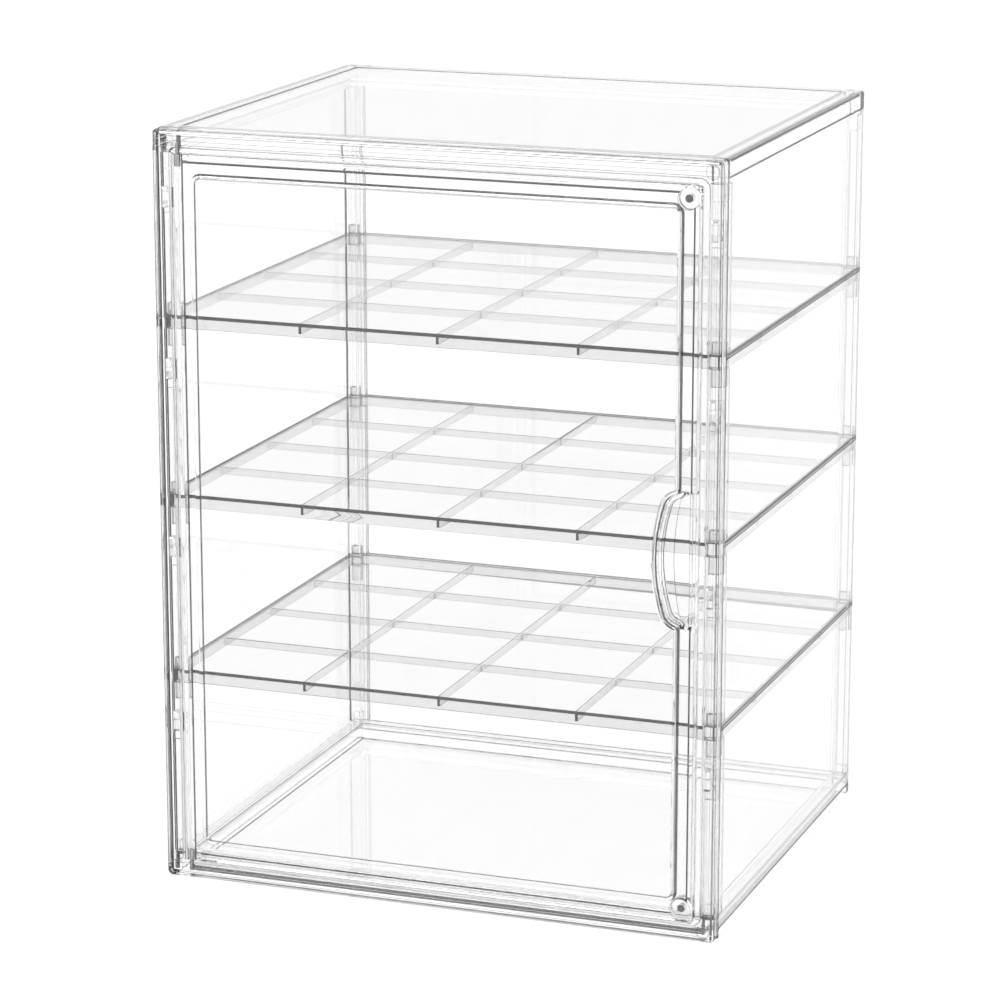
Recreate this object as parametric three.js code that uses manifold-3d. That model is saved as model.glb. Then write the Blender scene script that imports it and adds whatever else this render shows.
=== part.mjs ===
// A four-level countertop display case for nail polish bottles. Clear moulded panels plug together
// tier by tier on hollow corner posts, a frame clips onto the front, and one door, hinged on its
// left side, closes on magnets. Millimetres, +Z up, the front faces -Y, and the origin is the
// middle of the underside.
import * as THREE from "three";
import { mergeVertices } from "three/addons/utils/BufferGeometryUtils.js";
import Module from "manifold-3d";

const wasm = await Module();
wasm.setup();

// ---------------------------------------------------------------- driving dimensions
const caseWidth = 320;
const caseDepth = 276; // door window's face to the back face
const tierCount = 4;
const bottomTierHeight = 119; // underside to the first shelf's surface
const tierPitch = 100; // one shelf's surface to the next
const topTierHeight = 102; // last shelf's surface to the case's top
const fitGap = 0.3; // between pieces that touch or slide together
const cornerRadius = 3;

const panelThickness = 2; // side and back walls
const postSize = 8; // square corner posts, outside
const postWall = 1.6;
const spigotClearance = 0.3; // all round, inside a post
const spigotRise = 6; // up into the post above
const backClipWidth = 2;
const backClipDepth = 4;

const rimWidth = 11; // bars round the base and the top
const rimWall = 2;
const basePlate = 2.4;
const baseLedge = 6; // where the bottom walls stand
const baseRim = 12.5; // bars, inside the walls
const topPlate = 2.4;
const topSkirt = 10; // outside band
const topRim = 13; // bars, inside the walls
const topSpigotDrop = 10;

const shelfPlate = 2.2;
const shelfSkirt = 7.5; // edge band below the shelf's surface
const shelfSkirtWall = 1.8;
const shelfRib = 1.6;
const shelfRibDepth = 6; // below the shelf's surface
const cellsAcross = 4;
const cellsDeep = 4;
const shelfSpigotReach = 17.5; // below the shelf's surface
const shelfFrontGap = 0.8; // frame's back to the shelf's front edge

const frameSideBar = 11.5;
const frameTopBar = 13;
const frameBottomBar = 10;
const frameFront = 5; // solid thickness in front of the hollow at the back
const frameWall = 2.6; // beside that hollow
const stopFlange = 3; // the door rests against it
const stopThickness = 2.5;
const hookHeight = 11;
const hookWidth = 3.4;
const hookReach = 4; // behind the frame, into the post
const hookDrop = 27; // post's top to the hook's middle

const doorGap = 0.5; // round the door
const doorRimWidth = 4.2;
const doorRimDepth = 5.2; // also the hinge barrel's diameter
const doorPanel = 2;
const windowInset = 10.3; // door's edge to the raised window
const windowRaise = 0.8; // in front of the frame's face
const valleyDepth = 2.5; // flat band, behind the frame's face
const stepWall = 1.8;
const windowRadius = 5;
const pullHeight = 76;
const pullBulge = 12.7; // into the window, at mid-height
const pullWall = 2.5;
const pullFloor = 1.6;
const pinRadius = 1.2;
const pinClearance = 0.3;
const pinReach = 6; // into the frame, and into the door

const magnetInset = 7; // door's edges to the magnets' middle
const magnetRadius = 2;
const magnetClearance = 0.3;
const magnetBossRadius = 6;
const doorMagnetLength = 3;
const frameMagnetLength = 1.8;

const vertexGrid = 1 / 1024; // vertices are rounded to this, so flush faces meet exactly
const arcSteps = 2; // half the steps of a rounded corner
const roundSides = 24;
const pullSides = 192;
const overrun = 1; // of a hole past the face that it opens

// ---------------------------------------------------------------- places worked out from them
const halfWidth = caseWidth / 2;
const frameDepth = doorRimDepth + fitGap + stopThickness;
const halfDepth = caseDepth / 2;
const caseHeight = bottomTierHeight + (tierCount - 2) * tierPitch + topTierHeight;
const windowY = -halfDepth;
const faceY = windowY + windowRaise; // the front frame's face
const backY = halfDepth;
const frameBackY = faceY + frameDepth;
const bodyFrontY = frameBackY + fitGap;
const shelfFrontY = frameBackY + shelfFrontGap;
const wallInsideX = halfWidth - panelThickness;
const wallInsideY = backY - panelThickness;
const postX = wallInsideX - postSize / 2;
const frontPostY = bodyFrontY + postSize / 2;
const backPostY = wallInsideY - fitGap - postSize / 2;
const spigotSize = postSize - 2 * postWall - 2 * spigotClearance;
const postCentres = [
  [-postX, frontPostY],
  [postX, frontPostY],
  [-postX, backPostY],
  [postX, backPostY],
];

const openingRight = halfWidth - frameSideBar;
const openingLow = frameBottomBar;
const openingHigh = caseHeight - frameTopBar;
const doorRight = openingRight - doorGap;
const doorLow = openingLow + doorGap;
const doorHigh = openingHigh - doorGap;
const doorMiddle = (doorLow + doorHigh) / 2;
const doorBackY = faceY + doorRimDepth;
const hingeX = -doorRight + doorRimDepth / 2;
const hingeY = faceY + doorRimDepth / 2;
const rimStartX = hingeX + doorRimDepth; // clear of the frame's edge when the door is open
const valleyY = faceY + valleyDepth;
const windowRight = doorRight - windowInset;
const pullRadius = (pullHeight ** 2 / 4 + pullBulge ** 2) / (2 * pullBulge);
const pullCentreX = windowRight - pullBulge + pullRadius;
const pullBackY = frameBackY;
const magnetX = doorRight - magnetInset;
const magnetHeights = { top: doorHigh - magnetInset, bottom: doorLow + magnetInset };
const stopY = frameBackY - stopThickness;

const shelfTop = (level) => bottomTierHeight + level * tierPitch;

// The heights between which a tier's wall plates and posts stand, counted from the bottom.
function tierSpan(tier) {
  const top = tier === tierCount - 1;
  const floor = tier === 0 ? null : shelfTop(tier - 1);
  return {
    plateLow: (floor ?? baseLedge) + fitGap,
    postLow: (floor ?? baseRim) + fitGap,
    plateHigh: (top ? caseHeight - topSkirt : shelfTop(tier) - shelfPlate) - fitGap,
    postHigh: (top ? caseHeight - topRim : shelfTop(tier) - shelfSkirt) - fitGap,
  };
}

// ---------------------------------------------------------------- solids
function solidOf(geometry) {
  geometry.deleteAttribute("normal");
  geometry.deleteAttribute("uv");
  const places = geometry.attributes.position.array;
  places.forEach((value, i) => {
    places[i] = Math.round(value / vertexGrid) * vertexGrid;
  });
  const merged = mergeVertices(geometry, vertexGrid / 2);
  return new wasm.Manifold(
    new wasm.Mesh({
      numProp: 3,
      vertProperties: new Float32Array(merged.attributes.position.array),
      triVerts: new Uint32Array(merged.index.array),
    }),
  );
}

function geometryOf(solid) {
  const mesh = solid.getMesh();
  const geometry = new THREE.BufferGeometry();
  geometry.setAttribute("position", new THREE.BufferAttribute(mesh.vertProperties, 3));
  geometry.setIndex(new THREE.BufferAttribute(mesh.triVerts, 1));
  return geometry;
}

const joined = (solids) => solids.reduce((whole, next) => whole.add(next));

function block(x0, x1, y0, y1, z0, z1) {
  const geometry = new THREE.BoxGeometry(x1 - x0, y1 - y0, z1 - z0);
  geometry.translate((x0 + x1) / 2, (y0 + y1) / 2, (z0 + z1) / 2);
  return solidOf(geometry);
}

// A square column about a vertical line.
const column = (x, y, size, z0, z1) =>
  block(x - size / 2, x + size / 2, y - size / 2, y + size / 2, z0, z1);

// Corners on the left take leftRadius where the hinge needs them nearly square.
function roundedRectangle(left, right, low, high, radius, leftRadius = radius) {
  const outline = new THREE.Shape();
  const quarter = Math.PI / 2;
  outline.absarc(right - radius, low + radius, radius, -quarter, 0, false);
  outline.absarc(right - radius, high - radius, radius, 0, quarter, false);
  outline.absarc(left + leftRadius, high - leftRadius, leftRadius, quarter, 2 * quarter, false);
  outline.absarc(left + leftRadius, low + leftRadius, leftRadius, 2 * quarter, 3 * quarter, false);
  outline.closePath();
  return outline;
}

// A plan outline, square at the front where it meets the frame and round at the back corners.
function planOutline(halfX, frontY, rearY, radius) {
  const outline = new THREE.Shape();
  outline.moveTo(-halfX, frontY);
  outline.lineTo(halfX, frontY);
  outline.absarc(halfX - radius, rearY - radius, radius, 0, Math.PI / 2, false);
  outline.absarc(-halfX + radius, rearY - radius, radius, Math.PI / 2, Math.PI, false);
  outline.closePath();
  return outline;
}

// A plan outline raised from z0 to z1.
function upright(outline, z0, z1) {
  const options = { depth: z1 - z0, bevelEnabled: false, curveSegments: arcSteps };
  const geometry = new THREE.ExtrudeGeometry(outline, options);
  geometry.translate(0, 0, z0);
  return solidOf(geometry);
}

// An outline seen from the front, from yFront to yBack.
function facing(outline, yFront, yBack) {
  const options = { depth: yBack - yFront, bevelEnabled: false, curveSegments: arcSteps };
  const geometry = new THREE.ExtrudeGeometry(outline, options);
  geometry.rotateX(Math.PI / 2);
  geometry.translate(0, yBack, 0);
  return solidOf(geometry);
}

// A round bar along Y, or along Z when it stands on end.
function roundBar(x, z, radius, yFront, yBack, sides = roundSides) {
  const geometry = new THREE.CylinderGeometry(radius, radius, yBack - yFront, sides);
  geometry.translate(x, (yFront + yBack) / 2, z);
  return solidOf(geometry);
}

function standingBar(x, y, radius, z0, z1) {
  const geometry = new THREE.CylinderGeometry(radius, radius, z1 - z0, roundSides);
  geometry.rotateX(Math.PI / 2);
  geometry.translate(x, y, (z0 + z1) / 2);
  return solidOf(geometry);
}

const pinHole = (z0, z1) => standingBar(hingeX, hingeY, pinRadius + pinClearance, z0, z1);

// ---------------------------------------------------------------- base and top
// The hollow bars round a panel: the space between them, and the channel inside them.
function rimInside(z0, z1) {
  return block(
    -halfWidth + rimWidth,
    halfWidth - rimWidth,
    bodyFrontY + rimWidth,
    backY - rimWidth,
    z0,
    z1,
  );
}

function rimChannel(z0, z1) {
  const outer = panelThickness + fitGap + rimWall;
  const inner = rimWidth - rimWall;
  const ring = block(
    -halfWidth + outer,
    halfWidth - outer,
    bodyFrontY + rimWall,
    backY - outer,
    z0,
    z1,
  );
  const core = block(
    -halfWidth + inner,
    halfWidth - inner,
    bodyFrontY + inner,
    backY - inner,
    z0,
    z1,
  );
  return ring.subtract(core);
}

function rimBody(z0, z1) {
  const inset = panelThickness + fitGap;
  return block(-halfWidth + inset, halfWidth - inset, bodyFrontY, backY - inset, z0, z1);
}

const plan = () => planOutline(halfWidth, bodyFrontY, backY, cornerRadius);

function basePanel() {
  const bars = upright(plan(), 0, baseLedge)
    .add(rimBody(0, baseRim))
    .subtract(rimInside(basePlate, baseRim))
    .subtract(rimChannel(0, baseRim - rimWall));
  const spigots = postCentres.map(([x, y]) =>
    column(x, y, spigotSize, baseRim - rimWall, baseRim + spigotRise),
  );
  return joined([bars, ...spigots]);
}

function topPanel() {
  const rimLow = caseHeight - topRim;
  const bars = upright(plan(), caseHeight - topSkirt, caseHeight)
    .add(rimBody(rimLow, caseHeight))
    .subtract(rimInside(rimLow, caseHeight - topPlate))
    .subtract(rimChannel(rimLow, caseHeight - topPlate));
  const spigots = postCentres.map(([x, y]) =>
    column(x, y, spigotSize, rimLow - topSpigotDrop, caseHeight - topPlate / 2),
  );
  return joined([bars, ...spigots]);
}

// ---------------------------------------------------------------- walls
function sideWall(tier) {
  const { plateLow, plateHigh, postLow, postHigh } = tierSpan(tier);
  const boreSize = postSize - 2 * postWall;
  const plate = block(wallInsideX, halfWidth, bodyFrontY, backY, plateLow, plateHigh);
  const posts = [frontPostY, backPostY].map((y) => column(postX, y, postSize, postLow, postHigh));
  const bores = [frontPostY, backPostY].map((y) =>
    column(postX, y, boreSize, postLow - fitGap, postHigh + fitGap),
  );
  const hookZ = postHigh - hookDrop;
  const slot = block(
    postX - hookWidth / 2 - fitGap,
    postX + hookWidth / 2 + fitGap,
    bodyFrontY - fitGap,
    frontPostY,
    hookZ - hookHeight / 2 - fitGap,
    hookZ + hookHeight / 2 + fitGap,
  );
  const outside = upright(plan(), plateLow, plateHigh);
  return joined([plate, ...posts])
    .subtract(joined(bores))
    .subtract(slot)
    .intersect(outside);
}

function backWall(tier) {
  const { plateLow, plateHigh, postLow, postHigh } = tierSpan(tier);
  const edge = wallInsideX - fitGap;
  const clipOuter = postX - postSize / 2 - fitGap;
  const clip = (x0) =>
    block(x0, x0 + backClipWidth, wallInsideY - backClipDepth, backY, postLow, postHigh);
  return joined([
    block(-edge, edge, wallInsideY, backY, plateLow, plateHigh),
    clip(clipOuter - backClipWidth),
    clip(-clipOuter),
  ]);
}

// ---------------------------------------------------------------- shelves
function shelf(level) {
  const top = shelfTop(level);
  const skirtX = wallInsideX - fitGap;
  const skirtBackY = wallInsideY - fitGap;
  const skirtLow = top - shelfSkirt;
  const underside = top - shelfPlate;
  const plate = upright(planOutline(halfWidth, shelfFrontY, backY, cornerRadius), underside, top);
  const skirt = block(-skirtX, skirtX, shelfFrontY, skirtBackY, skirtLow, top).subtract(
    block(
      -skirtX + shelfSkirtWall,
      skirtX - shelfSkirtWall,
      shelfFrontY + shelfSkirtWall,
      skirtBackY - shelfSkirtWall,
      skirtLow,
      underside,
    ),
  );
  const ribLow = top - shelfRibDepth;
  const ribs = [];
  for (let i = 1; i < cellsAcross; i++) {
    const x = -skirtX + (2 * skirtX * i) / cellsAcross;
    ribs.push(block(x - shelfRib / 2, x + shelfRib / 2, shelfFrontY, skirtBackY, ribLow, top));
  }
  for (let j = 1; j < cellsDeep; j++) {
    const y = shelfFrontY + ((skirtBackY - shelfFrontY) * j) / cellsDeep;
    ribs.push(block(-skirtX, skirtX, y - shelfRib / 2, y + shelfRib / 2, ribLow, top));
  }
  const cornerBlocks = postCentres.map(([x, y]) => {
    const front = Math.max(y - postSize / 2, shelfFrontY);
    const outer = Math.min(Math.abs(x) + postSize / 2, skirtX);
    const inner = Math.abs(x) - postSize / 2;
    const [x0, x1] = x < 0 ? [-outer, -inner] : [inner, outer];
    return block(x0, x1, front, y + postSize / 2, skirtLow, top);
  });
  const spigots = postCentres.map(([x, y]) =>
    column(x, y, spigotSize, top - shelfSpigotReach, top + spigotRise),
  );
  return joined([plate, skirt, ...ribs, ...cornerBlocks, ...spigots]);
}

// ---------------------------------------------------------------- front frame
function frontFrame() {
  const outside = roundedRectangle(-halfWidth, halfWidth, 0, caseHeight, cornerRadius);
  outside.holes.push(
    roundedRectangle(-openingRight, openingRight, openingLow, openingHigh, cornerRadius, doorGap),
  );
  const channelOutline = roundedRectangle(
    -halfWidth + frameWall,
    halfWidth - frameWall,
    frameWall,
    caseHeight - frameWall,
    cornerRadius,
  );
  channelOutline.holes.push(
    roundedRectangle(
      -openingRight - frameWall,
      openingRight + frameWall,
      openingLow - frameWall,
      openingHigh + frameWall,
      cornerRadius,
    ),
  );
  const stopOutline = roundedRectangle(
    -openingRight - fitGap,
    openingRight + fitGap,
    openingLow - fitGap,
    openingHigh + fitGap,
    cornerRadius,
    doorGap,
  );
  stopOutline.holes.push(
    roundedRectangle(
      -openingRight + stopFlange,
      openingRight - stopFlange,
      openingLow + stopFlange,
      openingHigh - stopFlange,
      cornerRadius,
    ),
  );
  const bars = facing(outside, faceY, frameBackY);
  const hollow = facing(channelOutline, faceY + frameFront, frameBackY);
  const stop = facing(stopOutline, stopY, frameBackY);

  const hooks = [];
  for (let tier = 0; tier < tierCount; tier++) {
    const z = tierSpan(tier).postHigh - hookDrop;
    for (const x of [-postX, postX]) {
      hooks.push(
        block(
          x - hookWidth / 2,
          x + hookWidth / 2,
          faceY + frameFront - fitGap,
          frameBackY + hookReach,
          z - hookHeight / 2,
          z + hookHeight / 2,
        ),
      );
    }
  }
  const bosses = Object.values(magnetHeights).map((z) =>
    roundBar(magnetX, z, magnetBossRadius, stopY, frameBackY),
  );
  const pockets = Object.values(magnetHeights).map((z) =>
    roundBar(
      magnetX,
      z,
      magnetRadius + magnetClearance,
      frameBackY - frameMagnetLength - magnetClearance,
      frameBackY + fitGap,
    ),
  );
  const pinHoles = [
    pinHole(openingHigh - overrun, openingHigh + pinReach + pinClearance),
    pinHole(openingLow - pinReach - pinClearance, openingLow + overrun),
  ];
  return joined([bars.subtract(hollow), stop, ...hooks, ...bosses]).subtract(
    joined([...pockets, ...pinHoles]),
  );
}

// ---------------------------------------------------------------- door
function door() {
  const inside = (inset, radius) =>
    roundedRectangle(
      -doorRight + inset,
      doorRight - inset,
      doorLow + inset,
      doorHigh - inset,
      radius,
    );
  const pullDisc = (offset, yFront, yBack) =>
    roundBar(pullCentreX, doorMiddle, pullRadius + offset, yFront, yBack, pullSides);
  const pullSpan = (left, right, yFront, yBack, shrink) =>
    block(
      left,
      right,
      yFront,
      yBack,
      doorMiddle - pullHeight / 2 + shrink,
      doorMiddle + pullHeight / 2 - shrink,
    );

  // The rim, with a round barrel instead of its outer half on the hinge side, and no front bead
  // beside the barrel, so that the door turns past the frame.
  const rimOutline = roundedRectangle(
    -doorRight,
    doorRight,
    doorLow,
    doorHigh,
    cornerRadius,
    doorGap,
  );
  rimOutline.holes.push(inside(doorRimWidth, cornerRadius / 2));
  const rim = facing(rimOutline, faceY, doorBackY)
    .subtract(block(-doorRight, hingeX, faceY, doorBackY, doorLow, doorHigh))
    .subtract(block(hingeX, rimStartX, faceY, valleyY, doorLow, doorHigh))
    .add(standingBar(hingeX, hingeY, doorRimDepth / 2, doorLow, doorHigh));

  // The flat band and the raised window, cut round the finger pull.
  const band = facing(inside(doorRimWidth / 2, cornerRadius / 2), valleyY, valleyY + doorPanel);
  const windowBlock = facing(inside(windowInset, windowRadius), windowY, valleyY + doorPanel);
  const windowHollow = facing(
    inside(windowInset + stepWall, windowRadius - stepWall),
    windowY + doorPanel,
    doorBackY,
  );
  const raised = windowBlock.subtract(pullDisc(0, windowY, valleyY));
  const hollow = windowHollow.subtract(pullDisc(stepWall, windowY, doorBackY));

  // The finger pull: a crescent pocket behind the band, open across the rim.
  const pocketRight = doorRight - doorRimWidth;
  const pullLeft = windowRight - pullBulge;
  const pocket = pullSpan(pullLeft, pocketRight, valleyY, pullBackY, 0).intersect(
    pullDisc(0, valleyY, pullBackY),
  );
  const pocketHollow = pullSpan(
    pullLeft,
    pocketRight - pullWall / 2,
    windowY,
    pullBackY - pullFloor,
    pullWall,
  ).intersect(pullDisc(-pullWall, windowY, pullBackY));
  const rimCut = pullSpan(windowRight, doorRight, windowY, valleyY, 0);

  const bosses = Object.values(magnetHeights).map((z) =>
    roundBar(magnetX, z, magnetBossRadius, faceY, doorBackY),
  );
  const pockets = Object.values(magnetHeights).map((z) =>
    roundBar(
      magnetX,
      z,
      magnetRadius + magnetClearance,
      doorBackY - doorMagnetLength - magnetClearance,
      doorBackY + fitGap,
    ),
  );
  const pinHoles = [
    pinHole(doorHigh - pinReach - pinClearance, doorHigh + overrun),
    pinHole(doorLow - overrun, doorLow + pinReach + pinClearance),
  ];
  return joined([rim, band, raised])
    .subtract(hollow)
    .add(pocket)
    .subtract(pocketHollow)
    .subtract(rimCut)
    .add(joined(bosses))
    .subtract(joined([...pockets, ...pinHoles]));
}

// ---------------------------------------------------------------- pins and magnets
const hingePin = (low, high) => standingBar(hingeX, hingeY, pinRadius, low, high);

const doorMagnet = (z) =>
  roundBar(magnetX, z, magnetRadius, doorBackY - doorMagnetLength, doorBackY);

const frameMagnet = (z) =>
  roundBar(magnetX, z, magnetRadius, frameBackY - frameMagnetLength, frameBackY);

// ---------------------------------------------------------------- assembly
const clearPlastic = () =>
  new THREE.MeshStandardMaterial({
    color: 0xf4f7f8,
    roughness: 0.04,
    metalness: 0,
    transparent: true,
    opacity: 0.35,
  });
const steel = () => new THREE.MeshStandardMaterial({ color: 0xb9bcc0, roughness: 0.3, metalness: 1 });
const magnetPlating = () =>
  new THREE.MeshStandardMaterial({ color: 0x8f9296, roughness: 0.25, metalness: 1 });

const displayCase = new THREE.Group();

function place(name, solid, material) {
  const mesh = new THREE.Mesh(geometryOf(solid), material);
  mesh.name = name;
  displayCase.add(mesh);
  return mesh;
}

place("base_panel", basePanel(), clearPlastic());
place("top_panel", topPanel(), clearPlastic());
for (let tier = 0; tier < tierCount; tier++) {
  place(`right_wall_${tier + 1}`, sideWall(tier), clearPlastic());
  place(`left_wall_${tier + 1}`, sideWall(tier), clearPlastic()).scale.x = -1;
  place(`back_wall_${tier + 1}`, backWall(tier), clearPlastic());
}
for (let level = 0; level < tierCount - 1; level++) {
  place(`shelf_${level + 1}`, shelf(level), clearPlastic());
}
place("front_frame", frontFrame(), clearPlastic());
place("door", door(), clearPlastic());
place("hinge_pin_top", hingePin(doorHigh - pinReach, openingHigh + pinReach), steel());
place("hinge_pin_bottom", hingePin(openingLow - pinReach, doorLow + pinReach), steel());
for (const [end, z] of Object.entries(magnetHeights)) {
  place(`door_magnet_${end}`, doorMagnet(z), magnetPlating());
  place(`frame_magnet_${end}`, frameMagnet(z), magnetPlating());
}

export default displayCase;
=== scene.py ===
"""Looks for the nail polish display case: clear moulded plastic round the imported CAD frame.

Metres, +Z up, the front faces -Y. Places come from the frame; the constants below are the small
dimensions that the frame's boxes don't give.
"""

import math

import bmesh
import bpy
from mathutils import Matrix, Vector


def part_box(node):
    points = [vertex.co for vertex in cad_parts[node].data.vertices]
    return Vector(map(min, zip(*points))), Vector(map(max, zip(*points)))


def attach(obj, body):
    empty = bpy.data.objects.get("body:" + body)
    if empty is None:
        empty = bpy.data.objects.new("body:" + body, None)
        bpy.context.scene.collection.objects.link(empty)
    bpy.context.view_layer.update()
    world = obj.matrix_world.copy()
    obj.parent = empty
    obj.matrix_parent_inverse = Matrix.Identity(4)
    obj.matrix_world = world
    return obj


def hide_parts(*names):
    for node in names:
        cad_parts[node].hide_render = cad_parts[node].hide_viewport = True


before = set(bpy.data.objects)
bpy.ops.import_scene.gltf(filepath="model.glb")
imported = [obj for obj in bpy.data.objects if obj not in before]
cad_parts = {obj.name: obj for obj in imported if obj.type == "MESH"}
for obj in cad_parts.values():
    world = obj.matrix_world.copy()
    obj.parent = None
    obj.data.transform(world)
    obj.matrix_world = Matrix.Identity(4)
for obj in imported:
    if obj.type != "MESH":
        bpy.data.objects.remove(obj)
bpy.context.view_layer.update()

# ---------------------------------------------------------------- driving dimensions
mm = 0.001
FIT_GAP = 0.3 * mm
CORNER_RADIUS = 3 * mm
SQUARE_RADIUS = 0.5 * mm  # a corner that is nearly square

FRAME_SIDE_BAR = 11.5 * mm
FRAME_TOP_BAR = 13 * mm
FRAME_BOTTOM_BAR = 10 * mm
FRAME_DEPTH = 8 * mm
FRAME_FRONT = 5 * mm  # solid thickness in front of the hollow
FRAME_WALL = 2.6 * mm  # beside the hollow
STOP_FLANGE = 3 * mm  # the door rests against it
STOP_THICKNESS = 2.5 * mm
CORNER_BLOCK = 9.8 * mm  # the frame's corner blocks, to the groove round them
SEAM_INSET = 2.5 * mm
SEAM_WIDTH = 0.3 * mm
SEAM_DEPTH = 0.45 * mm
FACE_STEP = 0.15 * mm  # two small steps in the frame's face
HOOK_WIDTH = 3.4 * mm
HOOK_HEIGHT = 11 * mm
HOOK_REACH = 4 * mm
HOOK_DROP = 27 * mm  # top of a post to the middle of its hook

WINDOW_RAISE = 0.8 * mm  # window's face in front of the frame's face
WINDOW_INSET = 10.3 * mm  # door's edge to the window's step
WINDOW_RADIUS = 5 * mm
DOOR_PANEL = 2 * mm
DOOR_RIM_WIDTH = 4.2 * mm
DOOR_RIM_DEPTH = 5.2 * mm  # also the hinge barrel's diameter
VALLEY_DEPTH = 2.5 * mm
STEP_WALL = 1.8 * mm
PULL_BULGE = 12.7 * mm
PULL_RADIUS = 96 * mm  # of the bulge's long side
PULL_LEAN = math.radians(18)  # where the long side turns into a shoulder
PULL_SHOULDER = 9 * mm
PULL_END = 2 * mm  # from the end of the bulge to the end of its pocket
PULL_WALL = 2.5 * mm
PULL_FLOOR = 1.6 * mm
PULL_FILLET = 3 * mm  # where the bulge leaves the straight side
PIN_RADIUS = 1.2 * mm
PIN_REACH = 6 * mm
SHEET_PAST_HINGE = 1.3 * mm  # from the hinge's axis to the sheet's edge, inside the barrel
BARREL_SIDE = 0.85  # share of the barrel's radius beyond which its faces are painted as a shaded line
PULL_RAMP = 0.9 * mm  # the door's depth changes over this length at the ends of the pull
HINGE_RAMP = 1.2 * mm  # and over this one beside the hinge
HINGE_SHARE = 0.3  # of a row's move inward, that its hinge side makes
POCKET_FOOT = 0.9 * mm  # from the pull's wall to its floor
POCKET_EDGE = 1.4 * mm  # from the pull's floor to the rim

MAGNET_RADIUS = 2 * mm
BOSS_RADIUS = 6 * mm
BOSS_PROUD = 0.12 * mm  # of the faces round it
DOOR_POCKET = 3.4 * mm
FRAME_POCKET = 2.1 * mm

PANEL = 2 * mm  # side and back walls
RIM_WIDTH = 11 * mm  # hollow bars round the base and the top
RIM_WALL = 2 * mm
FRONT_SHARE = 0.02  # of a row's move inward, that its front makes where it rests on the frame
FRONT_START = 0.1 * mm  # where the rows inside the rim leave the front
BASE_PLATE = 2.4 * mm
BASE_LEDGE = 6 * mm
BASE_RIM = 12.5 * mm
TOP_PLATE = 2.4 * mm
TOP_SKIRT = 10 * mm
TOP_RIM = 13 * mm
SPIGOT = 4.2 * mm
SPIGOT_RISE = 6 * mm
SPIGOT_TAPER = 0.5 * mm  # height of its tapered end, and how far each side draws in
POST_HALF = 4 * mm  # half the width of a hollow post

CORNER_STEPS = 8
FILLET_STEPS = 5
PULL_STEPS = 32
SHOULDER_STEPS = 10
ROUND_SIDES = 48
SHARP_ANGLE = math.radians(28)  # a sharper edge is shaded as an edge
FLAT_ANGLE = math.radians(0.4)  # faces that differ by less are merged, on the pieces built here
CAD_FLAT_ANGLE = math.radians(2)  # and on the walls and shelves from the CAD
BEVEL_ANGLE = math.radians(40)  # those get softer edges where their faces differ by more
WALL_EDGE = 0.25 * mm  # their edges' radius
SHELF_EDGE = 0.4 * mm
WELD_DISTANCE = 0.002 * mm

CLEAR_COLOUR = (0.998, 0.998, 0.998)
# painted shade: the fillets' plastic is a little darker than the clear plastic
SHADED_FILLET_COLOUR = (0.99, 0.99, 0.99)
PAINTED_SHADE_COLOUR = (0.03, 0.032, 0.034, 1)  # painted shade, mixed into the plastic where it is set to look dark
PAINTED_GLOW_COLOUR = (0.93, 0.93, 0.93, 1)  # painted glow, an emission for rays that have bounced too often
PIN_COLOUR = (0.5, 0.51, 0.53)
PLATING_COLOUR = (0.13, 0.13, 0.14)
PLASTIC_IOR = 1.5
RUB_SCALE = 900  # cycles per metre, as for the other scales
HAZE_SCALE = 40
WAVE_SCALE = 22
TARNISH_SCALE = 700
SMOOTHEST = 0.01
ROUGHEST = 0.05
WAVE_HEIGHT = 0.02 * mm  # of the plastic's moulding waves
BRUSHING_HEIGHT = 0.02 * mm
TRAPPED_TILT = 0.28  # a face seen from inside, tilted more than this, keeps light inside the plastic and gets painted shade
MOST_BOUNCES = 24
SHADOW_TINT = (0.993, 0.993, 0.993, 1)  # what a shadow ray keeps at each surface

CAMERA_AZIMUTH = math.radians(20.2)
CAMERA_ELEVATION = math.radians(14.1)
CAMERA_DISTANCE = 2.182
CAMERA_LENS = 138.4  # millimetres, as is the sensor
CAMERA_SENSOR = 36
CAMERA_AIM = Vector((-0.0117, 0, 0.197))
SUN_TILT = math.radians(28)
SUN_HEADING = math.radians(-30)
SUN_WIDTH = math.radians(50)
FLOOR_RADIUS = 40  # metres, so that its edge is never seen
FLOOR_SIDES = 96
FLOOR_DROP = 0.3 * mm  # below the case's foot

# ---------------------------------------------------------------- places from the frame
frame_low, frame_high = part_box("front_frame")
door_low, door_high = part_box("door")
base_low, base_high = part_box("base_panel")
pin_low, pin_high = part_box("hinge_pin_top")

FACE_Y = frame_low.y
FRAME_BACK_Y = FACE_Y + FRAME_DEPTH
HALF_WIDTH = frame_high.x
CASE_HEIGHT = frame_high.z
BODY_FRONT_Y = base_low.y
BACK_Y = base_high.y
TOP_SPIGOT_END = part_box("top_panel")[0].z
DOOR_RIGHT = door_high.x
DOOR_LOW = door_low.z
DOOR_HIGH = door_high.z
DOOR_MIDDLE = (DOOR_LOW + DOOR_HIGH) / 2
HINGE_X = (pin_low.x + pin_high.x) / 2
HINGE_Y = (pin_low.y + pin_high.y) / 2
RIM_START_X = HINGE_X + DOOR_RIM_DEPTH
WINDOW_RIGHT = DOOR_RIGHT - WINDOW_INSET
PULL_CENTRE_X = WINDOW_RIGHT - PULL_BULGE + PULL_RADIUS
SHOULDER_X = PULL_CENTRE_X - (PULL_RADIUS - PULL_SHOULDER) * math.cos(PULL_LEAN)
SHOULDER_RISE = (PULL_RADIUS - PULL_SHOULDER) * math.sin(PULL_LEAN)
FILLET_X = WINDOW_RIGHT - PULL_FILLET
FILLET_LEAN = math.acos((SHOULDER_X - FILLET_X) / (PULL_SHOULDER + PULL_FILLET))
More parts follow.
